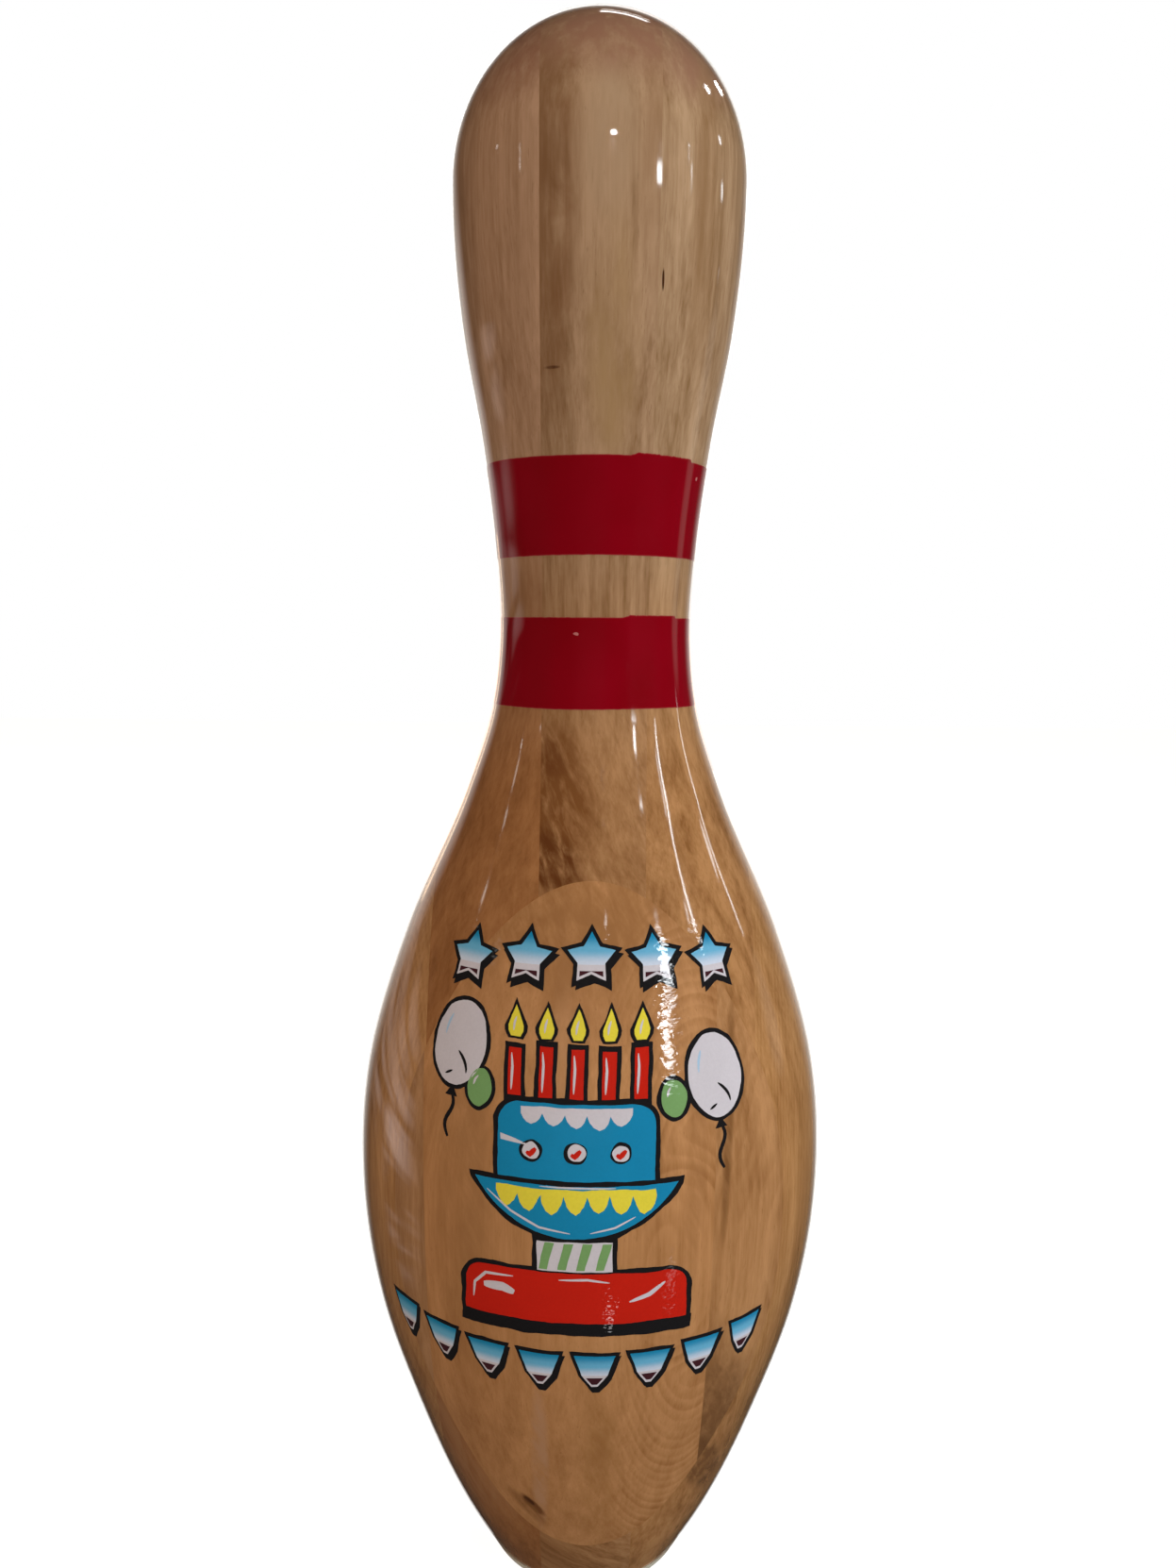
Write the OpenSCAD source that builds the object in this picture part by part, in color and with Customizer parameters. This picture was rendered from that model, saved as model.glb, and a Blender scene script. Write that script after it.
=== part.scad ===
// Laminated wooden tenpin bowling pin with a clear coat, two neck stripes and a printed birthday picture.
// The frame stands on the floor: the origin is the centre of the foot, +Z is up the axis, and the picture
// faces -Y. Angles round the pin are counted from the front, positive towards +X.

/* [Pin] */
// Height from the floor to the top of the head
pin_height = 381; // [350:1:410]
// Diameter of the belly at its widest
belly_d = 121.06; // [116:0.02:128]

/* [Coat and layers] */
// Thickness of the clear coat
coat_t = 0.8; // [0.6:0.1:2]
// Thickness of one turn of stripe tape
tape_t = 0.15; // [0.1:0.05:0.2]
// Thickness of the printed ink
ink_t = 0.1; // [0.1:0.05:0.2]

/* [Boards] */
// Width of the middle board of the core
centre_board_w = 24; // [22:0.5:28]
// Side of the square core block
core_w = 76.2; // [70:0.1:80]
// Width of the middle board of the front slab
front_board_w = 67; // [60:1:72]
// How far the front slab's middle board sits to the left
front_board_shift = 5; // [0:1:8]

/* [Neck stripes] */
// Height of the lower edge of the upper stripe
upper_stripe_z = 272.5; // [270:0.5:280]
// Height of the lower edge of the lower stripe
lower_stripe_z = 239.5; // [232:0.5:242]
// Width of each stripe
stripe_w = 20; // [16:0.5:24]

/* [Foot] */
// Height of the nylon base ring at its outside
ring_h = 4.8; // [4.5:0.1:7]
// Diameter of the hole in the base ring
ring_hole_d = 31.8; // [28:0.1:36]
// Depth of the wood below the ring's foot
wood_recess = 1; // [0.5:0.1:2]
// Diameter of the spindle bore
bore_d = 12.7; // [8:0.1:16]
// Length of the spindle bore's wall
bore_length = 25.4; // [15:0.1:40]

/* [Picture] */
// Stars in the upper row
star_count = 5; // [3:1:5]
// Flags in the lower row
flag_count = 8; // [4:1:8]
// Width of the black outlines
line_w = 1.1; // [0.8:0.1:1.3]

/* [Hidden] */

inch = 25.4;
// The standard tenpin outline: height above the floor and diameter, in inches.
spec = [[0.156, 2.25], [0.75, 2.828], [2.25, 3.906], [3.375, 4.51], [4.5, 4.766], [5.875, 4.563],
        [7.25, 3.703], [8.625, 2.472], [9.375, 1.965], [10, 1.797], [10.875, 1.87], [11.75, 2.094],
        [12.625, 2.406], [13.5, 2.547], [13.7265, 2.547]];
spec_height = 15;
spec_belly_d = 4.766;
z_scale = pin_height / spec_height;
r_scale = belly_d / spec_belly_d / 2;
last = len(spec) - 1;

wall_step = 4;       // largest height between two points of the outline
head_steps = 14;     // straight pieces in the quarter arc of the head
foot_steps = 5;      // straight pieces in the rounded edge of the foot
reach = 200;         // longer than any half width of the pin
smooth = 128;        // facets asked of each turned surface

// --- The outline of the pin ---------------------------------------------------------------------------

function spec_z(i) = spec[i][0] * z_scale;
function spec_r(i) = spec[i][1] * r_scale;
function gap(i) = spec_z(i + 1) - spec_z(i);
function chord(i) = (spec_r(i + 1) - spec_r(i)) / gap(i);
// Slope of the outline at station i: the parabola through it and its two neighbours.
function slope(i) = i == 0 ? chord(0) : i >= last ? 0
    : (chord(i - 1) * gap(i) + chord(i) * gap(i - 1)) / (gap(i - 1) + gap(i));
// Radius inside span i, at the share t of the way up it: a cubic with the stations' own slopes.
function span_r(i, t) = spec_r(i) * (1 + 2 * t) * (1 - t) * (1 - t)
    + slope(i) * gap(i) * t * (1 - t) * (1 - t)
    + spec_r(i + 1) * t * t * (3 - 2 * t)
    - slope(i + 1) * gap(i) * t * t * (1 - t);

// The foot's edge is an arc that is tangent to the floor and to the taper above it.
edge_r = spec_z(0);
taper_angle = atan(slope(0));
edge_centre_r = spec_r(0) - edge_r / cos(taper_angle);
edge = [for (k = [0 : foot_steps])
    let (a = -90 + (90 - taper_angle) * k / foot_steps)
    [edge_centre_r + edge_r * cos(a), edge_r + edge_r * sin(a)]];

head_z = spec_z(last);
head_r = spec_r(last);
wall = concat(
    [edge[foot_steps]],
    [for (i = [0 : last - 1]) let (n = ceil(gap(i) / wall_step)) for (k = [0 : n - 1])
        [span_r(i, k / n), spec_z(i) + gap(i) * k / n]],
    [for (k = [0 : head_steps]) let (a = 90 * k / head_steps)
        [head_r * cos(a), head_z + (pin_height - head_z) * sin(a)]]);
top = len(wall) - 1;

function across(a, b) = [b[1] - a[1], a[0] - b[0]] / norm(b - a);
function outward(i) = i == top ? [0, 1] : across(wall[max(i - 1, 0)], wall[i + 1]);
// The outline moved inwards by depth, square to the surface.
function outline(depth) = [for (i = [0 : top]) wall[i] - depth * outward(i)];

// Half section of the pin, depth below its surface, between two heights.
module half_section(depth, low, high) {
    line = outline(depth);
    intersection() {
        polygon(concat([[0, line[0][1]]], line));
        translate([0, low]) square([reach, high - low]);
    }
}

// Shell between two depths below the surface, between two heights.
module shell(outer, inner, low, high) {
    rotate_extrude($fn = smooth) difference() {
        half_section(outer, low, high);
        half_section(inner, low - 1, high + 1);
    }
}

// --- Wood ---------------------------------------------------------------------------------------------

core_half = core_w / 2;
board_half = centre_board_w / 2;
front_joint_left = -front_board_w / 2 - front_board_shift;
front_joint_right = front_board_w / 2 - front_board_shift;
ring_hole_r = ring_hole_d / 2;

// The turned blank that all the boards together fill, with the rebate for the base ring.
module blank() {
    rotate_extrude($fn = smooth) union() {
        half_section(coat_t, ring_h, pin_height);
        translate([0, wood_recess]) square([ring_hole_r, ring_h]);
    }
}

// The part of the blank inside one rectangle of the billet's cross section.
module board(x_low, x_high, y_low, y_high) {
    intersection() {
        blank();
        translate([x_low, y_low, 0]) cube([x_high - x_low, y_high - y_low, pin_height]);
    }
}

module core_centre_board() {
    color("burlywood") difference() {
        board(-board_half, board_half, -core_half, core_half);
        translate([0, 0, -1]) cylinder(h = 1 + wood_recess + bore_length, r = bore_d / 2, $fn = smooth);
    }
}

module core_left_board() {
    color("tan") board(-core_half, -board_half, -core_half, core_half);
}

module core_right_board() {
    color("tan") board(board_half, core_half, -core_half, core_half);
}

module left_side_slab() {
    color("peru") board(-reach, -core_half, -core_half, core_half);
}

module right_side_slab() {
    color("peru") board(core_half, reach, -core_half, core_half);
}

module front_slab_centre() {
    color("#c08a50") board(front_joint_left, front_joint_right, -reach, -core_half);
}

module front_slab_left() {
    color("#b48a60") board(-reach, front_joint_left, -reach, -core_half);
}

module front_slab_right() {
    color("#a87840") board(front_joint_right, reach, -reach, -core_half);
}

module back_slab() {
    color("#bd8850") board(-reach, reach, core_half, reach);
}

// --- Base ring ----------------------------------------------------------------------------------------

module base_ring() {
    color("ivory") rotate_extrude($fn = smooth) difference() {
        union() {
            polygon(concat([[0, 0]], edge, [[0, edge[foot_steps][1]]]));
            half_section(0, 0, ring_h);
        }
        translate([0, -1]) square([ring_hole_r, ring_h + 2]);
    }
}

// --- Neck stripes -------------------------------------------------------------------------------------

// One turn of tape, flush against the wood.
module stripe(low) {
    shell(coat_t - tape_t, coat_t, low, low + stripe_w);
}

module upper_neck_stripe() {
    color("#85102c") stripe(upper_stripe_z);
}

module lower_neck_stripe() {
    color("#85102c") stripe(lower_stripe_z);
}

// --- Shapes in the picture ----------------------------------------------------------------------------
// Each flat shape takes g, the width it grows by: 0 for its ink and line_w for its black outline. They are
// drawn in a plane with the pin's own heights upwards.

picture_low = 78;        // the picture lies between these heights
picture_high = 202;

star_tip = 5.6;
star_waist = 0.56;       // share of star_tip at the notches
star_step = 18;          // degrees between stars
star_row_z = 187.3;
star_row_drop = 0.45;    // drop of a star for each square of its place from the middle

flag_half_w = 4.8;
flag_half_h = 4.6;
flag_step = 12.8;        // degrees between flags
flag_row_turn = -4.7;    // angle of the row's middle
flag_row_z = 91.2;
flag_row_rise = 0.2;     // rise of a flag for each square of its place from the middle

motif_turn = -3;         // angle of the picture's middle
foot_half_w = 25.5;
foot_low = 105;
foot_high = 118;
stem_half_w = 8.5;
dish_half_w = 23;
dish_low = 126.5;
dish_high = 139;
cake_half_w = 17.5;
cake_high = 157;
corner_r = 5;
arc_steps = 6;
scallops = 6;
candle_half_w = 1.5;
candle_high = 168.5;
candle_step = 7;
candles = [-2, -1, 0, 1, 2];
flame_high = 177;

function arc(x, z, r, from, to) = [for (k = [0 : arc_steps])
    let (a = from + (to - from) * k / arc_steps) [x + r * cos(a), z + r * sin(a)]];
function grown_tip(g) = star_tip + 1.5 * g;

module star(g) {
    polygon([for (k = [0 : 9]) let (r = k % 2 == 0 ? grown_tip(g) : star_waist * grown_tip(g))
        [r * sin(36 * k), r * cos(36 * k)]]);
}

module flag(g) {
    w = flag_half_w + g;
    h = flag_half_h + g;
    polygon([[-w, h], [w, h], [0.62 * w, -0.25 * h], [0.14 * w, -h], [-0.14 * w, -h], [-0.62 * w, -0.25 * h]]);
}

// A block with rounded upper corners.
module tier(half_w, low, high, g) {
    r = corner_r + g;
    polygon(concat([[half_w + g, low - g]],
        arc(half_w - corner_r, high - corner_r, r, 0, 90),
        arc(corner_r - half_w, high - corner_r, r, 90, 180),
        [[-half_w - g, low - g]]));
}

module bar(half_w, low, high) {
    translate([-half_w, low]) square([2 * half_w, high - low]);
}

// The cake stand's dish: the lower part of a disc.
module dish(g) {
    depth = dish_high - dish_low;
    r = (dish_half_w * dish_half_w + depth * depth) / (2 * depth);
    half_angle = asin(dish_half_w / r);
    polygon(concat([[-dish_half_w - g, dish_high + g]],
        [for (k = [0 : 2 * arc_steps]) let (a = -half_angle + half_angle * k / arc_steps)
            [(r + g) * sin(a), dish_low + r - (r + g) * cos(a)]],
        [[dish_half_w + g, dish_high + g]]));
}

// Scalloped icing that hangs from a height, as wide as half_w each way.
module icing(half_w, high, drop, count) {
    step = 2 * half_w / count;
    polygon(concat([[half_w, high], [-half_w, high]],
        [for (k = [0 : count - 1]) for (t = [0 : 0.25 : 0.75])
            [-half_w + step * (k + t), high - 1.5 - drop * sin(180 * t)]],
        [[half_w, high - 1.5]]));
}

module candle_row(half_w, low, high) {
    for (k = candles) translate([k * candle_step, 0]) bar(half_w, low, high);
}

module flame(g) {
    w = 1.7 + g;
    polygon([[0, flame_high + 1.6 * g], [w, 172.6], [0.7 * w, 170.4 - 0.6 * g], [-0.7 * w, 170.4 - 0.6 * g],
        [-w, 172.6]]);
}

module flame_row(g) {
    for (k = candles) translate([k * candle_step, 0]) flame(g);
}

module balloon(half_w, half_h, g) {
    n = 4 * arc_steps;
    polygon([for (k = [0 : n - 1]) let (a = 360 * k / n)
        [(half_w + g) * cos(a), (half_h + g) * sin(a)]]);
}

// A balloon's knot and string, below a balloon of half height half_h.
module balloon_string(half_h, length) {
    w = 0.55;
    polygon([[-1.6, -half_h - 2.6], [1.6, -half_h - 2.6], [0, -half_h]]);
    polygon([[-w, -half_h - 1], [w, -half_h - 1], [w + 1.2, -half_h - length / 2], [w, -half_h - length],
        [-w, -half_h - length], [1.2 - w, -half_h - length / 2]]);
}

// --- Places in the picture ----------------------------------------------------------------------------

// Cuts a flat shape out of the picture's film, at an angle round the pin. The cutter starts at depth from
// the axis, so that neighbours in a row don't meet inside the wood.
module onto_pin(angle, depth) {
    rotate([0, 0, angle]) rotate([90, 0, 0]) translate([0, 0, depth]) linear_extrude(30) children();
}

module star_row() {
    for (k = [0 : star_count - 1]) {
        place = k - (star_count - 1) / 2;
        onto_pin(place * star_step, 36)
            translate([0, star_row_z - star_row_drop * place * place]) children();
    }
}

module flag_row() {
    for (k = [0 : flag_count - 1]) {
        place = k - (flag_count - 1) / 2;
        onto_pin(flag_row_turn + place * flag_step, 53)
            translate([0, flag_row_z + flag_row_rise * place * place]) children();
    }
}

module motif() {
    onto_pin(motif_turn, 40) children();
}

big_balloon = [7.2, 9.2];     // half width and half height
small_balloon = [3.1, 4];
left_balloon = [-34, 167];    // angle and height of each balloon's centre
right_balloon = [31, 161];
left_small_balloon = [-26.5, 158.5];
right_small_balloon = [19.5, 157.5];

module at_balloon(place) {
    onto_pin(place[0], 38) translate([0, place[1]]) children();
}

module big_balloons(g) {
    at_balloon(left_balloon) balloon(big_balloon[0], big_balloon[1], g);
    at_balloon(right_balloon) balloon(big_balloon[0], big_balloon[1], g);
}

module small_balloons(g) {
    at_balloon(left_small_balloon) balloon(small_balloon[0], small_balloon[1], g);
    at_balloon(right_small_balloon) balloon(small_balloon[0], small_balloon[1], g);
}

module film() {
    shell(coat_t - ink_t, coat_t, picture_low, picture_high);
}

// Everything that is printed, out to the outer edge of the black lines.
module printed_area() {
    intersection() {
        film();
        union() {
            star_row() star(line_w);
            flag_row() flag(line_w);
            motif() union() {
                bar(foot_half_w + line_w, foot_low - 3.5, foot_low);
                tier(foot_half_w, foot_low, foot_high, line_w);
                bar(stem_half_w + line_w, foot_high, dish_low + 2);
                dish(line_w);
                tier(cake_half_w, dish_high, cake_high, line_w);
                candle_row(candle_half_w + line_w, cake_high - 1, candle_high + line_w);
                flame_row(line_w);
            }
            big_balloons(line_w);
            small_balloons(line_w);
            at_balloon(left_balloon) balloon_string(big_balloon[1], 12);
            at_balloon(right_balloon) balloon_string(big_balloon[1], 12);
        }
    }
}

// --- The inks -----------------------------------------------------------------------------------------

fade = -1.2;             // height in a star or flag where its blue ends and its white begins

module stem_stripes() {
    stripe_h = 2.2;
    for (z = [foot_high + line_w + 1 : 2 * stripe_h : dish_low - 2]) bar(stem_half_w, z, z + stripe_h);
}

module stem() {
    bar(stem_half_w, foot_high + line_w, dish_low - line_w);
}

module cherries() {
    for (k = [-1 : 1]) translate([10 * k, 146.5]) balloon(2, 2, 0);
}

module dish_icing() {
    icing(dish_half_w - 5, dish_high - line_w, 3.6, scallops);
}

module cake_icing() {
    icing(cake_half_w - corner_r, cake_high - line_w, 2.4, scallops - 1);
}

module upper_part() {
    translate([-reach / 2, fade]) square([reach, reach]);
}

module blue_areas() {
    star_row() intersection() {
        star(0);
        upper_part();
    }
    flag_row() intersection() {
        flag(0);
        upper_part();
    }
    motif() union() {
        difference() {
            dish(0);
            dish_icing();
        }
        difference() {
            tier(cake_half_w, dish_high + line_w, cake_high, 0);
            cake_icing();
            cherries();
        }
    }
}

module white_areas() {
    star_row() difference() {
        star(0);
        upper_part();
    }
    flag_row() difference() {
        flag(0);
        upper_part();
    }
    motif() union() {
        cake_icing();
        difference() {
            stem();
            stem_stripes();
        }
    }
    big_balloons(0);
}

module yellow_areas() {
    motif() union() {
        dish_icing();
        flame_row(0);
    }
}

module red_areas() {
    motif() union() {
        tier(foot_half_w, foot_low, foot_high, 0);
        cherries();
        candle_row(candle_half_w, cake_high + line_w, candle_high);
    }
}

module green_areas() {
    motif() intersection() {
        stem();
        stem_stripes();
    }
    small_balloons(0);
}

module print_black() {
    color("#101012") difference() {
        printed_area();
        blue_areas();
        white_areas();
        yellow_areas();
        red_areas();
        green_areas();
    }
}

module print_white() {
    color("#c9c6cf") intersection() {
        film();
        white_areas();
    }
}

module print_blue() {
    color("#0a7db5") intersection() {
        film();
        blue_areas();
    }
}

module print_yellow() {
    color("#e8d23a") intersection() {
        film();
        yellow_areas();
    }
}

module print_red() {
    color("#c8201c") intersection() {
        film();
        red_areas();
    }
}

module print_green() {
    color("#7aab5a") intersection() {
        film();
        green_areas();
    }
}

// --- Clear coat ---------------------------------------------------------------------------------------

module clear_coat() {
    color("white", 0.15) difference() {
        shell(0, coat_t, ring_h, pin_height + 1);
        stripe(upper_stripe_z);
        stripe(lower_stripe_z);
        printed_area();
    }
}

core_centre_board();
core_left_board();
core_right_board();
left_side_slab();
right_side_slab();
front_slab_centre();
front_slab_left();
front_slab_right();
back_slab();
base_ring();
clear_coat();
upper_neck_stripe();
lower_neck_stripe();
print_black();
print_white();
print_blue();
print_yellow();
print_red();
print_green();
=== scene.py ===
"""Looks of the laminated bowling pin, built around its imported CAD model.

Lengths in this script are in millimetres until a mesh or a light is made, where MM turns them into metres.
The picture faces -Y. Angles round the pin are in degrees, 0 at the front and positive towards +X.
"""

import math

import bmesh
import bpy
from mathutils import Matrix, Vector, geometry, noise


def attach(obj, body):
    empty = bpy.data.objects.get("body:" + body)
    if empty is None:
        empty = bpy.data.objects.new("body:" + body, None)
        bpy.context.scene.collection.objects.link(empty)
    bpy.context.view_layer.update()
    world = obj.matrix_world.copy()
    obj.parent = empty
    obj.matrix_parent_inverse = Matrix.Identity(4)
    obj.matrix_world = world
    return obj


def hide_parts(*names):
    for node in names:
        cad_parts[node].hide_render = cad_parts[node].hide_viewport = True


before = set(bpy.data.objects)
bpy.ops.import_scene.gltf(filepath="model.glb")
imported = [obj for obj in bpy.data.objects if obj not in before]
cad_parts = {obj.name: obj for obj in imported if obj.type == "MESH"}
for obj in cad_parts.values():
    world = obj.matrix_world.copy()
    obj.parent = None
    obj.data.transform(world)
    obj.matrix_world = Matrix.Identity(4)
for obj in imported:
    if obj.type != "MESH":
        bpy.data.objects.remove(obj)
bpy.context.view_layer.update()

MM = 0.001
BODY = "root"

# --- The turned outline -----------------------------------------------

PIN_HEIGHT = 381.0
BELLY_D = 121.06
# The standard tenpin outline: height above the floor and diameter, in inches.
SPEC = ((0.156, 2.25), (0.75, 2.828), (2.25, 3.906), (3.375, 4.51), (4.5, 4.766), (5.875, 4.563),
        (7.25, 3.703), (8.625, 2.472), (9.375, 1.965), (10, 1.797), (10.875, 1.87), (11.75, 2.094),
        (12.625, 2.406), (13.5, 2.547), (13.7265, 2.547))
SPEC_HEIGHT, SPEC_BELLY_D = 15, 4.766
STATION_Z = [z * PIN_HEIGHT / SPEC_HEIGHT for z, d in SPEC]
STATION_R = [d * BELLY_D / SPEC_BELLY_D / 2 for z, d in SPEC]
LAST = len(SPEC) - 1
HEAD_Z, HEAD_R = STATION_Z[LAST], STATION_R[LAST]

WOOD_DEPTH = 0.30          # wood lies this far under the outside of the clear coat
RING_H = 4.8
RING_HOLE_R = 15.9
WOOD_FOOT_Z = 1.0
BORE_R = 6.35
BORE_TOP_Z = 26.4
CORE_HALF = 38.1
CENTRE_HALF = 12.0
FRONT_LEFT, FRONT_RIGHT = -38.5, 28.5
FAR = 90.0
SEGMENTS = 240
ROW_STEP = 2.0
HEAD_ROWS = 28


def gap(i):
    return STATION_Z[i + 1] - STATION_Z[i]


def chord(i):
    return (STATION_R[i + 1] - STATION_R[i]) / gap(i)


def slope(i):
    """Slope of the outline at station i: the parabola through it and its two neighbours."""
    if i == 0:
        return chord(0)
    if i >= LAST:
        return 0.0
    return (chord(i - 1) * gap(i) + chord(i) * gap(i - 1)) / (gap(i - 1) + gap(i))


EDGE_R = STATION_Z[0]
TAPER = math.atan(slope(0))
EDGE_CENTRE_R = STATION_R[0] - EDGE_R / math.cos(TAPER)


def wall(z):
    """(radius, slope) of the pin's outside at height z, below the head's arc."""
    if z <= EDGE_R:
        if z >= EDGE_R * (1 - math.sin(TAPER)):
            return STATION_R[0] + (z - EDGE_R) * slope(0), slope(0)
        side = math.sqrt(max(EDGE_R ** 2 - (EDGE_R - z) ** 2, 1e-6))
        return EDGE_CENTRE_R + side, (EDGE_R - z) / side
    i = max(k for k in range(LAST + 1) if STATION_Z[k] <= z)
    if i == LAST:
        return HEAD_R, 0.0
    t, h = (z - STATION_Z[i]) / gap(i), gap(i)
    r0, r1, s0, s1 = STATION_R[i], STATION_R[i + 1], slope(i), slope(i + 1)
    r = (r0 * (1 + 2 * t) * (1 - t) ** 2 + s0 * h * t * (1 - t) ** 2
         + r1 * t * t * (3 - 2 * t) - s1 * h * t * t * (1 - t))
    s = (6 * t * (1 - t) * (r1 - r0) / h + s0 * (1 - t) * (1 - 3 * t) + s1 * t * (3 * t - 2))
    return r, s


def radius(z, depth):
    """Radius at height z of the surface that lies depth under the pin's outside."""
    if z >= HEAD_Z:
        return math.sqrt(max((HEAD_R - depth) ** 2 - (z - HEAD_Z) ** 2, 0.0))
    r, s = wall(z)
    return r - depth * math.hypot(1, s)


def surface_normal(x, y, z):
    """Outward direction of the turned surface near a point, in millimetres."""
    if z >= HEAD_Z:
        return Vector((x, y, z - HEAD_Z)).normalized()
    s = wall(z)[1]
    r = max(math.hypot(x, y), 1e-6)
    return Vector((x / r, y / r, -s)).normalized()


def heights(low, high, step):
    count = max(1, round((high - low) / step))
    return [low + (high - low) * k / count for k in range(count + 1)]


def side_outline(depth, low):
    """(radius, height) points from low up to the top of the head."""
    line = [(radius(z, depth), z) for z in heights(low, HEAD_Z, ROW_STEP)]
    r = HEAD_R - depth
    line += [(r * math.cos(a), HEAD_Z + r * math.sin(a))
             for a in (math.pi / 2 * k / HEAD_ROWS for k in range(1, HEAD_ROWS))]
    return line + [(0.0, HEAD_Z + r)]


# --- Mesh helpers -----------------------------------------------------

def turned(outline, segments=SEGMENTS):
    """A bmesh of the outline turned about the Z axis. Points on the axis become one vertex."""
    bm = bmesh.new()
    rings = []
    for r, z in outline:
        if r < 1e-6:
            rings.append([bm.verts.new((0, 0, z))])
        else:
            rings.append([bm.verts.new((r * math.sin(a), -r * math.cos(a), z))
                          for a in (2 * math.pi * k / segments for k in range(segments))])
    for low, high in zip(rings, rings[1:]):
        for k in range(segments):
            n = (k + 1) % segments
            corners = [low[k % len(low)], low[n % len(low)], high[n % len(high)], high[k % len(high)]]
            unique = list(dict.fromkeys(corners))
            if len(unique) > 2:
                bm.faces.new(unique)
    return bm


def cut(bm, axis, value, side):
    """Keeps the part of a closed bmesh on one side of a plane square to an axis, and closes it."""
    direction = Vector((0, 0, 0))
    direction[axis] = -side
    point = Vector((0, 0, 0))
    point[axis] = value
    everything = bm.verts[:] + bm.edges[:] + bm.faces[:]
    result = bmesh.ops.bisect_plane(bm, geom=everything, dist=1e-5, plane_co=point, plane_no=direction,
                                    clear_outer=True)
    rim = [g for g in result["geom_cut"] if isinstance(g, bmesh.types.BMEdge)]
    if rim:
        bmesh.ops.edgeloop_fill(bm, edges=rim)


# How closely a face has to match the turned surface to be a part of it: its facing, and millimetres.
SKIN_FACING, SKIN_SLACK, HEAD_SLACK = 0.9, 0.08, 0.15


def on_skin(face, nearest, deepest):
    """True for a face of the turned surface that lies between two depths."""
    c = face.center
    if c.z > HEAD_Z:
        off = (c - Vector((0, 0, HEAD_Z))).length
        return abs(off - HEAD_R) < deepest + HEAD_SLACK
    if face.normal.dot(surface_normal(*c)) <= SKIN_FACING:
        return False
    r = math.hypot(c.x, c.y)
    return radius(c.z, deepest) - SKIN_SLACK < r < radius(c.z, nearest) + SKIN_SLACK


def finish_mesh(bm, name, skin_depths, material, slot_name, nodes):
    """Makes the object of a bmesh in millimetres. Faces on the turned surface get its exact normals."""
    bmesh.ops.recalc_face_normals(bm, faces=bm.faces[:])
    for f in bm.faces:
        f.smooth = True
    mesh = bpy.data.meshes.new(name)
    bm.to_mesh(mesh)
    bm.free()
    normals = []
    for face in mesh.polygons:
        turned_face = on_skin(face, *skin_depths)
        for v in face.vertices:
            exact = surface_normal(*mesh.vertices[v].co)
            normals.append(tuple(exact if turned_face else face.normal))
    mesh.normals_split_custom_set(normals)
    mesh.transform(Matrix.Diagonal((MM, MM, MM, 1)))
    piece = bpy.data.objects.new(name, mesh)
    bpy.context.scene.collection.objects.link(piece)
    mesh.materials.append(material)
    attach(piece, BODY)
    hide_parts(*nodes)
    return piece


# --- Shader helpers ---------------------------------------------------

COAT_IOR, COAT_ROUGH = 1.5, 0.06
RIPPLE_HEIGHT = 0.110


class Nodes:
    """A node tree, with short calls that add nodes to it. A value is a number, a tuple or a socket."""

    def __init__(self, owner, output):
        owner.use_nodes = True
        self.tree = owner.node_tree
        self.tree.nodes.clear()
        self.surface = self.new(output).inputs["Surface"]

    def new(self, kind, **values):
        """A new node. Its inputs are named in small letters, with _ for a space."""
        node = self.tree.nodes.new("ShaderNode" + kind)
        for name, value in values.items():
            self.put(next(i for i in node.inputs if i.name.lower().replace(" ", "_") == name), value)
        return node

    def put(self, socket, value):
        if isinstance(value, bpy.types.NodeSocket):
            self.tree.links.new(value, socket)
        elif isinstance(value, (tuple, list)) and len(value) == 3 and socket.type == "RGBA":
            socket.default_value = (*value, 1.0)
        else:
            socket.default_value = value

    def fill(self, kind, *values):
        """A new node whose inputs take the values in order."""
        node = self.new(kind)
        for socket, value in zip(node.inputs, values):
            self.put(socket, value)
        return node

    def vector(self, kind, a, b):
        node = self.fill("VectorMath", a, b)
        node.operation = kind
        return node.outputs["Value" if kind == "DOT_PRODUCT" else "Vector"]

    def math(self, kind, a, b=0.0, clamp=False):
        node = self.fill("Math", a, b)
        node.operation = kind
        node.use_clamp = clamp
        return node.outputs[0]

    def add(self, a, b, clamp=False):
        return self.math("ADD", a, b, clamp)

    def minus(self, a, b):
        return self.math("SUBTRACT", a, b)

    def times(self, a, b, clamp=False):
        return self.math("MULTIPLY", a, b, clamp)

    def square(self, a):
        return self.times(a, a)

    def about(self, noise_value, amount):
        """A noise of 0 to 1, moved to lie about 0 and made amount high."""
        return self.times(self.minus(noise_value, 0.5), amount)

    def join(self, x, y, z):
        return self.fill("CombineXYZ", x, y, z).outputs[0]

    def step(self, value, low, high, bottom=0.0, top=1.0):
        """bottom below low and top above high, smooth between them."""
        node = self.new("MapRange", value=value, from_min=low, from_max=high, to_min=bottom, to_max=top)
        node.interpolation_type = "SMOOTHSTEP"
        return node.outputs["Result"]


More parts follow.
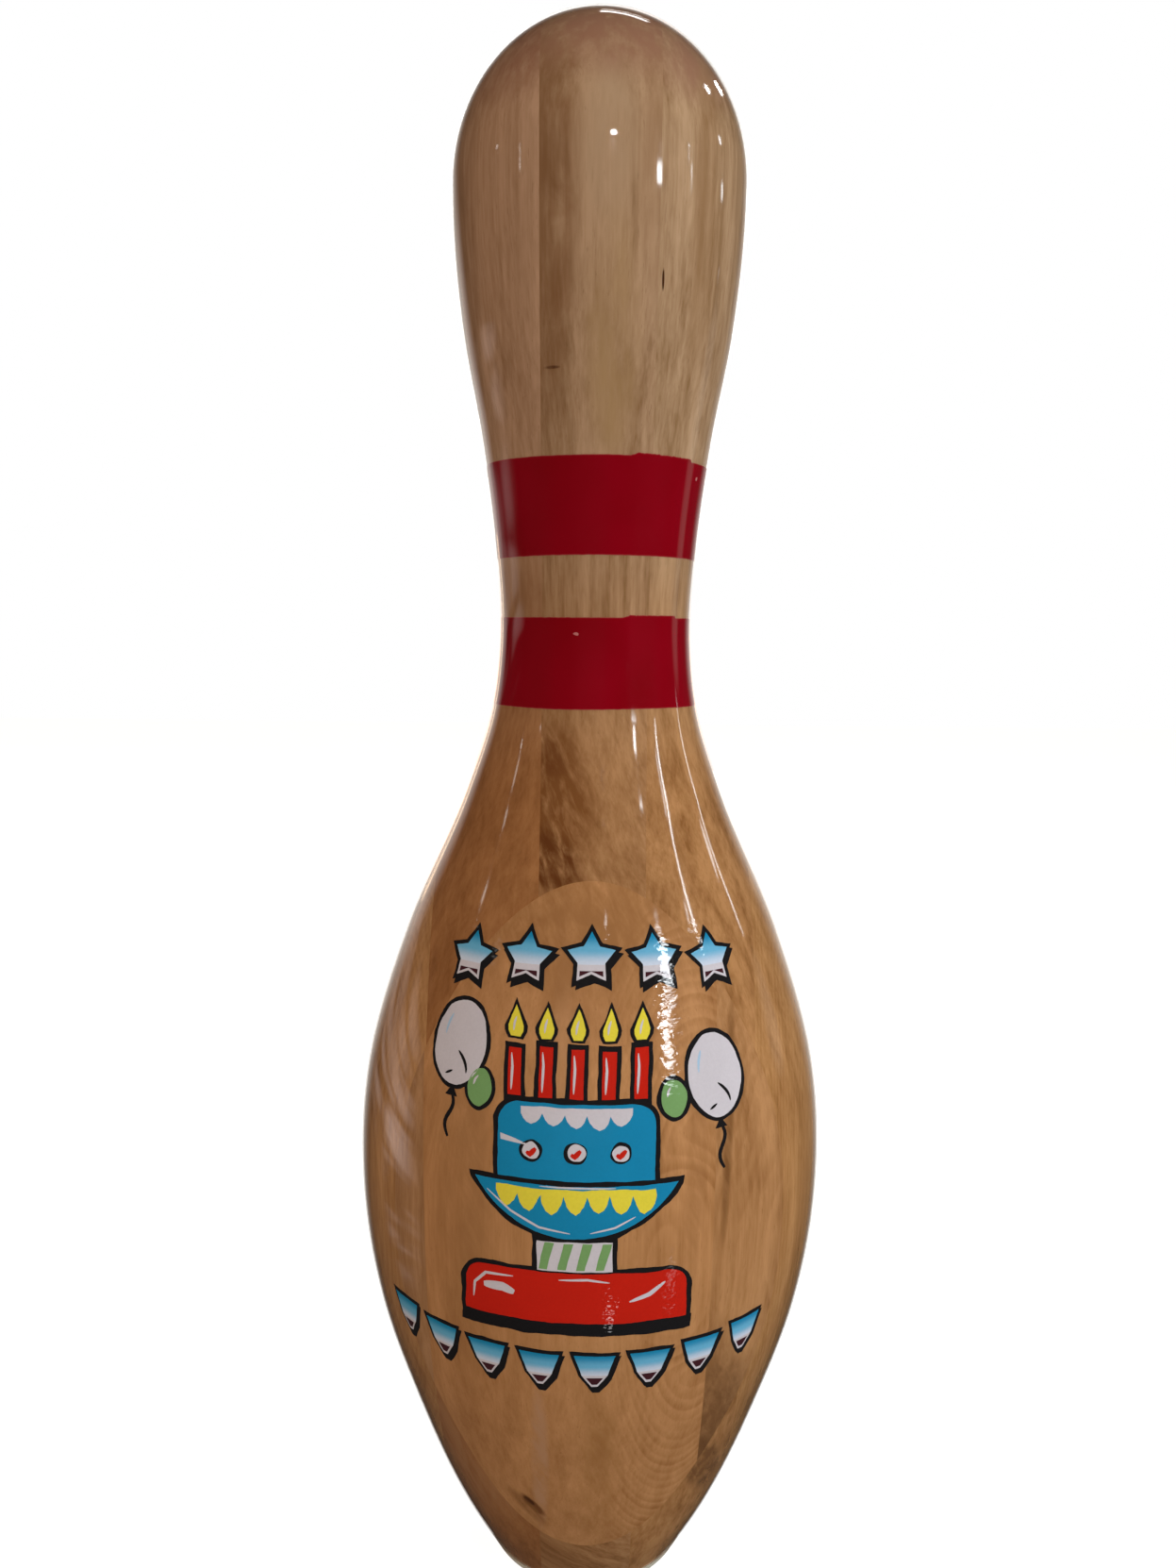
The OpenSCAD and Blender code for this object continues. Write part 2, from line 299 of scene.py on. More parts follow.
class Shade(Nodes):
    """A material. Its at, x, y and z are the place on the pin, in millimetres."""

    def __init__(self, name):
        self.material = bpy.data.materials.new(name)
        super().__init__(self.material, "OutputMaterial")
        self.at = self.vector("MULTIPLY", self.new("TexCoord").outputs["Object"], (1000, 1000, 1000))
        self.x, self.y, self.z = self.new("SeparateXYZ", vector=self.at).outputs

    def noise(self, scale, detail=3.0, rough=0.55, where=None, warp=0.0):
        """Noise from 0 to 1. scale holds the cycles per millimetre along x, y and z."""
        place = self.vector("MULTIPLY", where or self.at, scale)
        node = self.new("TexNoise", vector=place, scale=1.0, detail=detail, roughness=rough, distortion=warp)
        return node.outputs["Fac"]

    def mix(self, share, a, b, kind="MIX"):
        node = self.new("Mix")
        node.data_type = "RGBA"
        node.blend_type = kind
        for index, value in ((0, share), (6, a), (7, b)):
            self.put(node.inputs[index], value)
        return node.outputs[2]

    def bump(self, height, distance, strength=1.0):
        return self.new("Bump", strength=strength, distance=distance * MM, height=height).outputs["Normal"]

    def attribute(self, name):
        node = self.new("Attribute")
        node.attribute_name = name
        return node.outputs["Fac"]

    def ripple(self):
        """The slight waves of the lacquer, stronger over the printed picture."""
        fine = self.noise((0.30, 0.30, 0.62), detail=2.0)
        along = self.times(self.step(self.z, 196.0, 190.0), self.step(self.z, 92.0, 104.0))
        across = self.step(self.math("ABSOLUTE", self.x), 36.0, 26.0)
        picture = self.times(self.times(along, across), self.step(self.y, 0.0, -20.0))
        amount = self.add(self.times(picture, 0.9), 0.004)
        return self.bump(self.times(fine, amount), RIPPLE_HEIGHT)

    def coated(self, colour, rough, normal, specular=0.0, coat=1.0):
        """The finished material: a Principled surface under the pin's glossy lacquer."""
        surface = self.new("BsdfPrincipled", base_color=colour, roughness=rough, normal=normal,
                           specular_ior_level=specular, coat_weight=coat, coat_roughness=COAT_ROUGH,
                           coat_ior=COAT_IOR, coat_normal=self.ripple())
        self.put(self.surface, surface.outputs["BSDF"])
        return self.material


# --- Wood -------------------------------------------------------------

PALE, DEEP, PORE = (1.20, 1.22, 1.26), (0.66, 0.58, 0.48), (0.36, 0.30, 0.24)


def tint(colour, by):
    return tuple(c * b for c, b in zip(colour, by))


# The noises that shade the wood: cycles per millimetre along x, y and z, detail, roughness, warp, and how
# much each takes of a board's streak and of its mottle.
FIGURE = {
    "fibre": ((0.55, 0.55, 0.018), 4.0, 0.62, 0.0, 1.5, 0.0),
    "thread": ((2.4, 2.4, 0.06), 2.0, 0.55, 0.0, 0.8, 0.0),
    "cloud": ((0.075, 0.075, 0.012), 2.0, 0.55, 0.4, 0.0, 3.4),
    "smoke": ((0.14, 0.14, 0.055), 4.0, 0.55, 0.9, 0.0, 1.4),
    "grain": ((0.20, 0.20, 0.010), 4.0, 0.70, 0.2, 4.4, 0.0),
    "fleck": ((0.9, 0.9, 0.20), 3.0, 0.55, 0.5, 1.2, 0.0),
}
MIDDLE_SHADE = 0.36
BELLY_TONE_Z, HEAD_TONE_Z = 215.0, 300.0    # heights where low_tone ends and tone begins
BEND_TOP_Z = 262.0
STRAND_TOP_Z = 240.0                        # marks below it follow leaning strands, and above it the fibre


def patch(s, x, z, half_w, half_h, lean=0.0):
    """1 at a place on the front of the pin, fading to 0 over its half width and half height."""
    dz = s.minus(s.z, z)
    dx = s.minus(s.minus(s.x, x), s.times(dz, lean))
    far = s.add(s.square(s.math("DIVIDE", dx, half_w)), s.square(s.math("DIVIDE", dz, half_h)))
    return s.times(s.step(far, 1.0, 0.0), s.step(s.y, 5.0, -5.0))


def own_place(s, shift, bend):
    """The place in a board's own stretch of noise, with the fibres of the shoulder curved aside."""
    fall = s.math("MAXIMUM", s.minus(BEND_TOP_Z, s.z), 0.0)
    aside = s.times(s.square(fall), -bend)
    return s.vector("ADD", s.at, s.join(s.add(aside, shift), 2 * shift, 3 * shift))


def late_wood(s, place, pith, spacing, wander, shift, swells):
    """1 in the dark last growth of some years, and 0 in the pale early wood."""
    drift = s.noise((0.025, 0.025, 0.009), detail=2.0, where=place)
    curl = s.noise((0.09, 0.09, 0.03), detail=2.0, where=place)
    away = s.math("SQRT", s.add(s.square(s.minus(s.x, pith[0])), s.square(s.minus(s.y, pith[1]))))
    bent = s.add(s.times(drift, 11.0 * wander), s.times(curl, 3.4 * wander))
    for x, z, half_w, half_h, depth in swells:
        bent = s.add(bent, s.times(patch(s, x, z, half_w, half_h), depth))
    age = s.math("DIVIDE", s.add(away, bent), spacing)
    year = s.math("FRACT", age)
    which = s.noise((0.9, 0.9, 0.9), detail=0.0, where=s.join(s.math("FLOOR", age), 3.7, shift))
    late = s.times(s.step(year, 0.0, 0.72), s.step(year, 1.0, 0.78))
    return s.times(late, s.add(s.times(which, 1.6), -0.1), clamp=True)


def figured(s, place, streak, mottle):
    """The noises of FIGURE by name, and the shade that they give a board."""
    noises, shade = {}, MIDDLE_SHADE
    for name, (scale, detail, rough, warp, of_streak, of_mottle) in FIGURE.items():
        noises[name] = s.noise(scale, detail, rough, place, warp)
        shade = s.add(shade, s.about(noises[name], of_streak * streak + of_mottle * mottle))
    return noises, shade


def marked(s, colour, marks, blotch, noises):
    """The wood's colour with its single marks, which are as uneven as blotch says."""
    across = s.add(s.x, s.times(s.z, 0.45))
    strand = s.noise((0.42, 0.3, 0.07), detail=4.0, rough=0.6, where=s.join(across, s.y, s.z), warp=0.5)
    for x, z, half_w, half_h, lean, stain, strength in marks:
        own, force = (strand, 3.2) if z < STRAND_TOP_Z else (noises["fibre"], 1.6)
        uneven = s.add(s.about(noises["smoke"], 2.6), s.about(own, force))
        uneven = s.add(s.times(uneven, blotch), 1.0)
        mark = s.times(patch(s, x, z, half_w, half_h, lean), uneven)
        colour = s.mix(s.times(mark, strength, clamp=True), colour, stain)
    return colour


def wood(name, tone, pith, spacing, low_tone=None, wander=0.3, ring=0.25, mottle=0.3, streak=0.4,
         shift=0.0, ring_from=None, bend=0.0, marks=(), blotch=1.0, swells=()):
    """Maple: growth rings about a distant pith, fibre streaks, pores, soft clouding and single marks.

    tone is its middle colour, and low_tone the one it reaches below the neck. The rings are spacing apart,
    stray from round by wander, are as dark as ring says, and begin to show at x = ring_from. swells bend
    them into nested arches, each (x, z, half width, half height, depth). streak and mottle are how strong
    the fibres and the clouding are. shift picks a board's own stretch of noise, and bend curves its fibres.
    """
    s = Shade(name)
    height = s.step(s.z, BELLY_TONE_Z, HEAD_TONE_Z)
    pale, deep = (s.mix(height, tint(low_tone or tone, by), tint(tone, by)) for by in (PALE, DEEP))
    place = own_place(s, shift, bend)
    late = late_wood(s, place, pith, spacing, wander, shift, swells)
    if ring_from is not None:
        late = s.times(late, s.step(s.x, ring_from - 12.0, ring_from + 8.0))
    noises, shade = figured(s, place, streak, mottle)
    colour = s.mix(s.add(shade, s.times(late, ring), clamp=True), pale, deep)
    pores = s.step(s.noise((2.8, 2.8, 0.30), detail=1.0, where=place), 0.66, 0.78)
    colour = s.mix(s.times(pores, 0.30), colour, tint(tone, PORE))
    colour = marked(s, colour, marks, blotch, noises)
    normal = s.bump(s.add(noises["fibre"], s.times(pores, -0.6)), 0.02, 0.4)
    return s.coated(colour, s.add(s.times(noises["fibre"], 0.2), 0.42), normal)


# Single marks of each board: x, z, half width, half height, lean, colour and strength.
CENTRE_MARKS = (
    (-10.0, 218.0, 14.0, 24.0, 0.0, (0.200, 0.076, 0.022), 0.90),
    (-9.5, 207.0, 9.0, 9.0, -0.4, (0.125, 0.040, 0.010), 1.0),
    (-10.5, 229.0, 5.0, 6.0, -0.4, (0.160, 0.056, 0.016), 0.70),
    (6.0, 207.0, 9.0, 6.0, 0.0, (0.30, 0.140, 0.055), 0.20),
    (-10.5, 340.0, 8.0, 50.0, 0.0, (0.240, 0.120, 0.055), 0.80),
    (-9.0, 345.0, 3.6, 9.0, 0.0, (0.20, 0.095, 0.040), 0.50),
    (-9.0, 318.0, 5.0, 12.0, 0.2, (0.20, 0.090, 0.035), 0.35),
    (2.0, 350.0, 8.0, 22.0, 0.0, (0.43, 0.280, 0.165), 0.55),
    (3.0, 314.0, 7.0, 28.0, 0.0, (0.38, 0.230, 0.108), 0.60),
    (11.0, 345.0, 4.0, 34.0, 0.0, (0.31, 0.175, 0.090), 0.55),
    (4.0, 376.0, 34.0, 19.0, 0.0, (0.31, 0.155, 0.092), 0.85),
    (-9.5, 309.0, 2.0, 0.42, 0.0, (0.10, 0.042, 0.018), 0.9),
)
LEFT_MARKS = (
    (-27.5, 338.0, 3.6, 60.0, 0.0, (0.27, 0.145, 0.075), 0.60),
    (-18.0, 372.0, 16.0, 18.0, 0.0, (0.29, 0.140, 0.080), 0.80),
    (-27.0, 62.0, 20.0, 42.0, 0.0, (0.40, 0.190, 0.080), 0.85),
    (-17.0, 262.0, 8.0, 13.0, 0.0, (0.27, 0.130, 0.058), 0.60),
)
RIGHT_MARKS = (
    (13.0, 325.0, 0.30, 2.4, 0.0, (0.06, 0.022, 0.010), 1.3),
    (18.0, 372.0, 16.0, 18.0, 0.0, (0.31, 0.160, 0.095), 0.80),
    (30.5, 48.0, 6.0, 14.0, -0.1, (0.180, 0.080, 0.029), 0.85),
    (21.0, 340.0, 3.0, 45.0, 0.0, (0.31, 0.175, 0.085), 0.45),
)
SLAB_MARKS = (
    (-11.5, 60.0, 2.8, 34.0, 0.0, (0.46, 0.245, 0.125), 0.75),
    (-13.6, 40.6, 2.2, 4.6, -0.7, (0.180, 0.070, 0.022), 1.2),
    (-14.6, 42.0, 1.3, 1.8, -0.7, (0.080, 0.026, 0.008), 1.2),
    (-28.0, 130.0, 9.0, 60.0, 0.0, (0.35, 0.165, 0.062), 0.45),
    (-15.0, 39.0, 3.0, 8.0, -0.7, (0.24, 0.105, 0.035), 0.60),
    (3.0, 60.0, 6.0, 42.0, 0.0, (0.33, 0.150, 0.048), 0.45),
    (-6.0, 150.0, 3.5, 60.0, 0.0, (0.50, 0.260, 0.120), 0.35),
    (-26.0, 140.0, 4.0, 60.0, 0.0, (0.36, 0.170, 0.065), 0.45),
    (24.0, 140.0, 3.0, 34.0, 0.02, (0.33, 0.150, 0.055), 0.50),
    (-2.0, 196.0, 34.0, 24.0, 0.0, (0.33, 0.150, 0.054), 0.70),
)
DARK_MARKS = (
    (33.0, 62.0, 13.0, 44.0, -0.1, (0.190, 0.086, 0.032), 0.90),
    (31.0, 54.0, 5.0, 11.0, -0.5, (0.120, 0.050, 0.017), 0.60),
    (31.5, 150.0, 1.5, 34.0, 0.02, (0.20, 0.085, 0.028), 0.85),
)

MAPLE = {
    "core_centre_board": wood("maple_centre", (0.370, 0.225, 0.124), (-60, 9), 1.3, (0.360, 0.180, 0.074),
                              ring=0.10, mottle=0.32, streak=0.60, shift=11.0, bend=0.0024,
                              marks=CENTRE_MARKS),
    "core_left_board": wood("maple_left", (0.405, 0.240, 0.140), (150, -20), 1.8, (0.330, 0.142, 0.050),
                            wander=0.5, ring=0.08, mottle=0.20, streak=0.42, shift=37.0, marks=LEFT_MARKS),
    "core_right_board": wood("maple_right", (0.400, 0.252, 0.140), (-150, 15), 1.7, (0.390, 0.190, 0.072),
                             ring=0.12, mottle=0.30, streak=0.60, shift=71.0, marks=RIGHT_MARKS),
    "left_side_slab": wood("maple_left_side", (0.440, 0.225, 0.090), (-170, -60), 0.9,
                           ring=0.20, mottle=0.28, streak=0.40, shift=93.0),
    "right_side_slab": wood("maple_right_side", (0.440, 0.222, 0.084), (175, -30), 0.9,
                            ring=0.20, mottle=0.28, streak=0.45, shift=17.0),
    "front_slab_centre": wood("maple_front", (0.455, 0.222, 0.088), (42, -80), 0.95, wander=0.14,
                              ring=0.36, mottle=0.22, streak=0.32, shift=53.0, ring_from=10.0,
                              swells=((24.0, 118.0, 15.0, 34.0, 7.0),), marks=SLAB_MARKS),
    "front_slab_left": wood("maple_front_left", (0.400, 0.210, 0.095), (60, 20), 1.2,
                            ring=0.12, mottle=0.25, streak=0.40, shift=29.0),
    "front_slab_right": wood("maple_front_right", (0.420, 0.210, 0.085), (-80, 40), 1.1, wander=0.8,
                             ring=0.22, mottle=0.40, streak=0.40, shift=5.0, marks=DARK_MARKS, blotch=0.4),
    "back_slab": wood("maple_back", (0.450, 0.225, 0.090), (-30, 170), 0.9,
                      ring=0.22, mottle=0.26, streak=0.38, shift=61.0),
}

# Limits in x and y of each board in the billet's cross section, and its material slot.
BOARDS = {
    "core_centre_board": ((-CENTRE_HALF, CENTRE_HALF), (-CORE_HALF, CORE_HALF), "maple_light"),
    "core_left_board": ((-CORE_HALF, -CENTRE_HALF), (-CORE_HALF, CORE_HALF), "maple_tan"),
    "core_right_board": ((CENTRE_HALF, CORE_HALF), (-CORE_HALF, CORE_HALF), "maple_tan"),
    "left_side_slab": ((-FAR, -CORE_HALF), (-CORE_HALF, CORE_HALF), "maple_orange"),
    "right_side_slab": ((CORE_HALF, FAR), (-CORE_HALF, CORE_HALF), "maple_orange"),
    "front_slab_centre": ((FRONT_LEFT, FRONT_RIGHT), (-FAR, -CORE_HALF), "maple_orange"),
    "front_slab_left": ((-FAR, FRONT_LEFT), (-FAR, -CORE_HALF), "maple_tan"),
    "front_slab_right": ((FRONT_RIGHT, FAR), (-FAR, -CORE_HALF), "maple_dark"),
    "back_slab": ((-FAR, FAR), (CORE_HALF, FAR), "maple_orange"),
}


def make_board(node):
    """One board of the billet, turned as a whole pin and then cut at its glue lines."""
    *limits, slot_name = BOARDS[node]
    if node == "core_centre_board":
        foot = [(0.0, BORE_TOP_Z), (BORE_R, BORE_TOP_Z), (BORE_R, WOOD_FOOT_Z)]
    else:
        foot = [(0.0, WOOD_FOOT_Z)]
    foot += [(RING_HOLE_R, WOOD_FOOT_Z), (RING_HOLE_R, RING_H)]
    bm = turned(foot + side_outline(WOOD_DEPTH, RING_H))
    bmesh.ops.recalc_face_normals(bm, faces=bm.faces[:])
    for axis, (low, high) in enumerate(limits):
        if abs(low) < FAR:
            cut(bm, axis, low, 1)
        if abs(high) < FAR:
            cut(bm, axis, high, -1)
    return finish_mesh(bm, "pin_" + node, (WOOD_DEPTH, WOOD_DEPTH), MAPLE[node], slot_name, [node])


# --- Base ring --------------------------------------------------------

def nylon():
    s = Shade("nylon")
    wear = s.step(s.noise((0.12, 0.12, 0.5), detail=5.0), 0.48, 0.72)
    colour = s.mix(s.times(wear, 0.5), (0.70, 0.66, 0.55), (0.48, 0.43, 0.34))
    scuffs = s.noise((0.9, 0.9, 2.5), detail=4.0)
    rough = s.add(s.times(scuffs, 0.25), 0.28)
    return s.coated(colour, rough, s.bump(scuffs, 0.03, 0.5), specular=0.4, coat=0.0)


def make_base_ring():
    outer = [(EDGE_CENTRE_R + EDGE_R * math.sin(a), EDGE_R - EDGE_R * math.cos(a))
             for a in ((math.pi / 2 - TAPER) * k / 10 for k in range(11))]
    outer += [(radius(z, 0), z) for z in (3.0, 3.5, 4.0, 4.4, RING_H - 0.05)]
    inner = [(RING_HOLE_R, RING_H - 0.05), (RING_HOLE_R, 0.6), (RING_HOLE_R + 0.2, 0.2),
             (RING_HOLE_R + 0.6, 0.0)]
    line = outer + inner
    bm = turned(line + [line[0]])
    bmesh.ops.remove_doubles(bm, verts=bm.verts[:], dist=1e-4)
    return finish_mesh(bm, "pin_base_ring", (0.0, 0.0), nylon(), "nylon", ["base_ring"])


# --- Clear coat -------------------------------------------------------

def clear_film():
    """Lacquer seen edge-on: clear from the front, a gloss that grows only towards the outline."""
    s = Shade("clear_film")
    rim = s.new("LayerWeight", blend=0.5).outputs["Facing"]
    gloss = s.new("BsdfGlossy", color=(1.0, 0.98, 0.95), roughness=0.02).outputs[0]
    clear = s.new("BsdfTransparent").outputs[0]
    share = s.times(s.math("POWER", rim, 9.0), 0.85)
    s.put(s.surface, s.fill("MixShader", share, clear, gloss).outputs[0])
    return s.material


def make_clear_coat():
    bm = turned(side_outline(0.0, RING_H))
    return finish_mesh(bm, "pin_clear_coat", (0.0, 0.0), clear_film(), "clear", ["clear_coat"])


# --- Neck stripes -----------------------------------------------------

STRIPES = {"upper_neck_stripe": 272.5, "lower_neck_stripe": 239.5}
STRIPE_W = 20.0
TAPE_T = 0.13
LAP_FROM, LAP_TO = 20.0, 54.0
LAP_RISE, LAP_RAMP = 0.55, 4.0
TAPE_COLUMNS, TAPE_ROWS = 480, 14
TAPE_ROUND, TAPE_TUCK = 0.03, 0.02      # how far its edges are rounded off, and tucked into the wood
EDGE_SHARE, EDGE_W = 0.012, 0.1         # the rounded share of its width, and the width that looks worn


def crimson():
    s = Shade("crimson_tape")
    cloud = s.noise((0.05, 0.05, 0.03), detail=2.0)
    grain = s.noise((0.5, 0.5, 0.05), detail=2.0)
    colour = s.mix(s.step(cloud, 0.3, 0.7), (0.255, 0.0, 0.0070), (0.215, 0.0, 0.0040))
    edge = s.attribute("edge")
    colour = s.mix(s.times(edge, 0.55), colour, (0.42, 0.10, 0.09))
    dust = s.step(s.noise((0.42, 0.42, 0.42), detail=0.0), 0.885, 0.90)
    colour = s.mix(s.times(dust, 0.6), colour, (0.70, 0.28, 0.26))
    normal = s.bump(s.add(s.times(grain, 0.3), dust), 0.05, 0.5)
    return s.coated(colour, 0.45, normal)


def tape_edge(angle, z, seed, lapped):
    """Height of a hand-cut tape edge at an angle, in degrees."""
    a = math.radians(angle)
    wave = noise.noise(Vector((math.cos(a), math.sin(a), seed))) * 0.28
    fine = noise.noise(Vector((angle * 0.35, seed, 4.0))) * 0.06
    rise = 0.0
    if lapped and LAP_FROM - LAP_RAMP <= angle <= LAP_TO:
        ragged = 0.16 * noise.noise(Vector((angle * 1.1, seed, 9.0)))
        rise = LAP_RISE * min(1.0, max(0.0, (angle - LAP_FROM + LAP_RAMP) / LAP_RAMP)) + ragged
    return z + wave + fine + rise


def tape_section(bottom, top):
    """(height, depth) points up the tape's face, from under its lower edge to under its upper one."""
    depth = WOOD_DEPTH - TAPE_T
    inner = [EDGE_SHARE] + [j / TAPE_ROWS for j in range(1, TAPE_ROWS)] + [1 - EDGE_SHARE]
    face = [(bottom + (top - bottom) * share, depth) for share in inner]
    under = WOOD_DEPTH + TAPE_TUCK
    return ([(bottom, under), (bottom, depth + TAPE_ROUND)] + face
            + [(top, depth + TAPE_ROUND), (top, under)])


def make_stripe(node):
    """A turn of tape with slightly wavy edges, whose lapped end stands a little higher."""
    low, seed = STRIPES[node], STRIPES[node] * 0.1
    bm = bmesh.new()
    layer = bm.verts.layers.float.new("edge")
    columns = []
    for k in range(TAPE_COLUMNS):
        angle = -180 + 360 * k / TAPE_COLUMNS
        a = math.radians(angle)
        bottom = tape_edge(angle, low, seed, False)
        top = tape_edge(angle, low + STRIPE_W, seed + 5, True)
        column = []
        for z, depth in tape_section(bottom, top):
            r = radius(z, depth)
            v = bm.verts.new((r * math.sin(a), -r * math.cos(a), z))
            v[layer] = 1.0 if min(z - bottom, top - z) < EDGE_W else 0.0
            column.append(v)
        columns.append(column)
    for here, there in zip(columns, columns[1:] + columns[:1]):
        for j in range(len(here) - 1):
            bm.faces.new((here[j], there[j], there[j + 1], here[j + 1]))
    depth = WOOD_DEPTH - TAPE_T
    return finish_mesh(bm, "pin_" + node, (depth, depth), CRIMSON, "crimson_tape", [node])


CRIMSON = crimson()

# --- The printed picture: flat shapes ---------------------------------
# Each shape is a closed line of (across, height) points, which grows by g for its black outline.

HAND_SEED = 7
noise.seed_set(HAND_SEED)      # noise_vector starts from the clock without it
LINE_W = 1.1
STAR_TIP, STAR_WAIST = 5.6, 0.56
FLAG_HALF_W, FLAG_HALF_H = 4.8, 4.6
FADE = -1.2
ROWS_ANGLE = {"star": 18.0, "flag": 12.8}
STAR_Z, STAR_DROP = 187.3, 0.45
FLAG_Z, FLAG_RISE, FLAG_TURN = 91.2, 0.2, -4.7
MOTIF_TURN = -3.0
FOOT_HALF_W, FOOT_LOW, FOOT_HIGH = 25.5, 105.0, 118.0
STEM_HALF_W = 8.5
DISH_HALF_W, DISH_LOW, DISH_HIGH = 23.0, 126.5, 139.0
CAKE_HALF_W, CAKE_HIGH = 17.5, 157.0
CORNER_R = 5.0
OVAL_SIDES = 40
CANDLE_HALF_W, CANDLE_HIGH, CANDLE_STEP = 1.5, 168.5, 7.0
FLAME_HIGH = 177.0
BIG_BALLOON, SMALL_BALLOON = (7.2, 9.2), (3.1, 4.0)
BIG_PLACES = ((-34.0, 167.0), (31.0, 161.0))
SMALL_PLACES = ((-26.5, 158.5), (19.5, 157.5))


def arc(x, z, rx, rz, start, end, steps=10):
    turns = [math.radians(start + (end - start) * k / steps) for k in range(steps + 1)]
    return [(x + rx * math.cos(a), z + rz * math.sin(a)) for a in turns]


def star(g):
    tip = STAR_TIP + 1.5 * g
    turns = [(tip if k % 2 == 0 else STAR_WAIST * tip, math.radians(36 * k)) for k in range(10)]
    return [(r * math.sin(a), r * math.cos(a)) for r, a in turns]


def flag(g):
    w, h = FLAG_HALF_W + g, FLAG_HALF_H + g
    return [(-w, h), (w, h), (0.62 * w, -0.25 * h), (0.14 * w, -h), (-0.14 * w, -h), (-0.62 * w, -0.25 * h)]


def tier(half_w, low, high, g):
    r = CORNER_R + g
    return ([(half_w + g, low - g)] + arc(half_w - CORNER_R, high - CORNER_R, r, r, 0, 90)
            + arc(CORNER_R - half_w, high - CORNER_R, r, r, 90, 180) + [(-half_w - g, low - g)])


def bar(half_w, low, high, x=0.0):
    return [(x - half_w, low), (x + half_w, low), (x + half_w, high), (x - half_w, high)]


def dish(g):
    depth = DISH_HIGH - DISH_LOW
    r = (DISH_HALF_W ** 2 + depth ** 2) / (2 * depth)
    half = math.asin(DISH_HALF_W / r)
    bowl = [((r + g) * math.sin(a), DISH_LOW + r - (r + g) * math.cos(a))
            for a in (-half + 2 * half * k / 24 for k in range(25))]
    return [(-DISH_HALF_W - g, DISH_HIGH + g)] + bowl + [(DISH_HALF_W + g, DISH_HIGH + g)]


def icing(half_w, high, drop, count):
    """Hanging icing whose drips differ a little from one another."""
    step = 2 * half_w / count
    line = [(half_w, high), (-half_w, high)]
    for k in range(count):
        own = drop * (0.85 + 0.3 * ((k * 37) % 7) / 6)
        line += [(-half_w + step * (k + t), high - 1.5 - own * math.sin(math.pi * t) ** 0.7)
                 for t in (0, 0.12, 0.28, 0.5, 0.72, 0.88)]
    return line + [(half_w, high - 1.5)]


def flame(g, x=0.0):
    w = 1.7 + g
    side = [(w, 172.6), (0.95 * w, 171.6), (0.6 * w, 170.4 - 0.6 * g)]
    return ([(x, FLAME_HIGH + 1.6 * g)] + [(x + 0.55 * w, 174.8 + 0.4 * g)] + [(x + a, z) for a, z in side]
            + [(x - a, z) for a, z in reversed(side)] + [(x - 0.6 * w, 174.6)])


def oval(half_w, half_h, g, x=0.0, z=0.0):
    return arc(x, z, half_w + g, half_h + g, 0, 360, OVAL_SIDES)[:-1]


def stroke(path, width, blunt=0.25):
    """A brush stroke along a path: thin at its ends and width wide in the middle."""
    points = spread(path, 0.6, closed=False)
    left, right = [], []
    for k, (x, z) in enumerate(points):
        a, b = points[max(k - 1, 0)], points[min(k + 1, len(points) - 1)]
        dx, dz = b[0] - a[0], b[1] - a[1]
        long = math.hypot(dx, dz)
        t = k / (len(points) - 1)
        w = width / 2 * (blunt + (1 - blunt) * math.sin(math.pi * t) ** 0.6)
        left.append((x - dz / long * w, z + dx / long * w))
        right.append((x + dz / long * w, z - dx / long * w))
    return left + right[::-1]


def spread(line, step, closed=True):
    """The same line with points no further than step apart."""
    ends = line[1:] + line[:1] if closed else line[1:]
    out = []
    for (ax, az), (bx, bz) in zip(line, ends):
        n = max(1, math.ceil(math.hypot(bx - ax, bz - az) / step))
        out += [(ax + (bx - ax) * k / n, az + (bz - az) * k / n) for k in range(n)]
    return out if closed else out + [line[-1]]


def by_hand(line, seed, amount=0.16):
    """Gives a line the small unevenness of a drawn one."""
    out = []
    for x, z in spread(line, 0.9):
        d = noise.noise_vector(Vector((x * 0.22, z * 0.22, seed)))
        e = noise.noise_vector(Vector((x * 0.7, z * 0.7, seed + 20)))
        out.append((x + amount * (d.x * 1.6 + e.x * 0.5), z + amount * (d.y * 1.6 + e.y * 0.5)))
    return out


def above(line, z):
    return spread(clip(line, lambda p: p[1] - z), 0.9)


def below(line, z):
    return spread(clip(line, lambda p: z - p[1]), 0.9)


def clip(line, value):
    """The part of a closed line where value is positive."""
    out = []
    for a, b in zip(line, line[1:] + line[:1]):
        va, vb = value(a), value(b)
        if va >= 0:
            out.append(a)
        if (va >= 0) != (vb >= 0):
            t = va / (va - vb)
            out.append((a[0] + (b[0] - a[0]) * t, a[1] + (b[1] - a[1]) * t))
    return out


def moved(line, x, z):
    return [(a + x, b + z) for a, b in line]


# --- The printed picture: inks on the pin -----------------------------

BACKING, COLOUR, DETAIL, ACCENT = 0.24, 0.215, 0.19, 0.165    # depths of the layers of ink
APART = 0.004                                                # between black shapes that overlap
INK_T = 0.018
INK_GRID = 1.3


